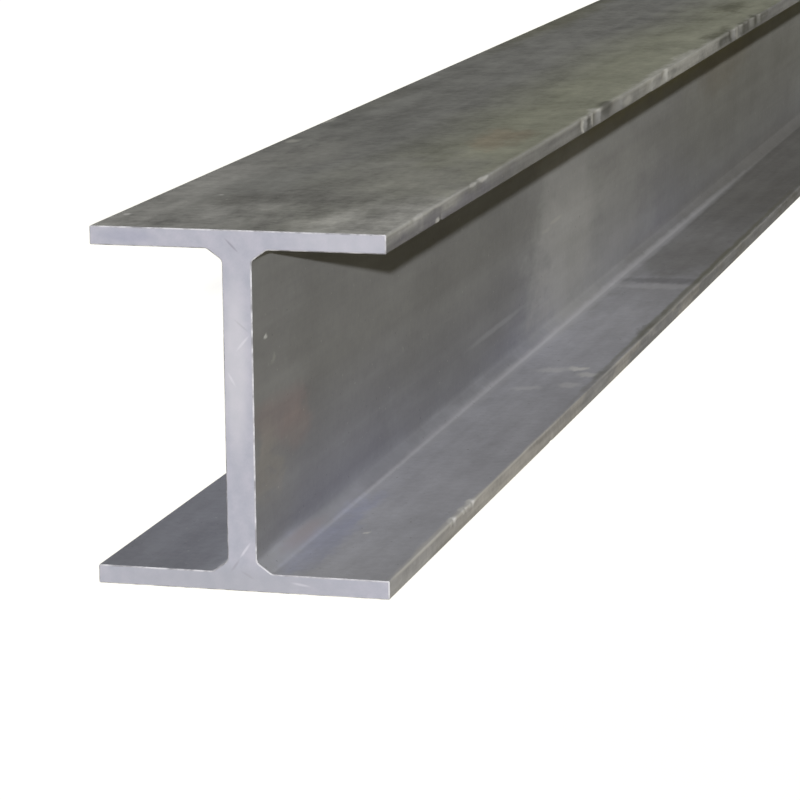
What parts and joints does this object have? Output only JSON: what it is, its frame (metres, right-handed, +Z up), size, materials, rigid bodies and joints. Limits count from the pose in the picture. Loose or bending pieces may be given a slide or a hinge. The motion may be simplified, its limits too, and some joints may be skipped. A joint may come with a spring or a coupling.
{
  "type": "h-beam",
  "caption": "Straight aluminium H-beam with two equal parallel flanges and a thicker central web, for framing, supports and rails.",
  "frame": {"origin": "centre of the bottom flange's underside, halfway along the beam", "axes": "+Y along the beam's length, +X across the flanges, +Z up through the web from the bottom flange to the top flange"},
  "size_m": [0.1, 1.5, 0.12],
  "materials": {
    "mill_finish_aluminium": "mill finish, dull and lightly streaked, with brighter saw-cut ends"
  },
  "bodies": {
    "root": {"h_beam": "mill_finish_aluminium"}
  },
  "joints": []
}
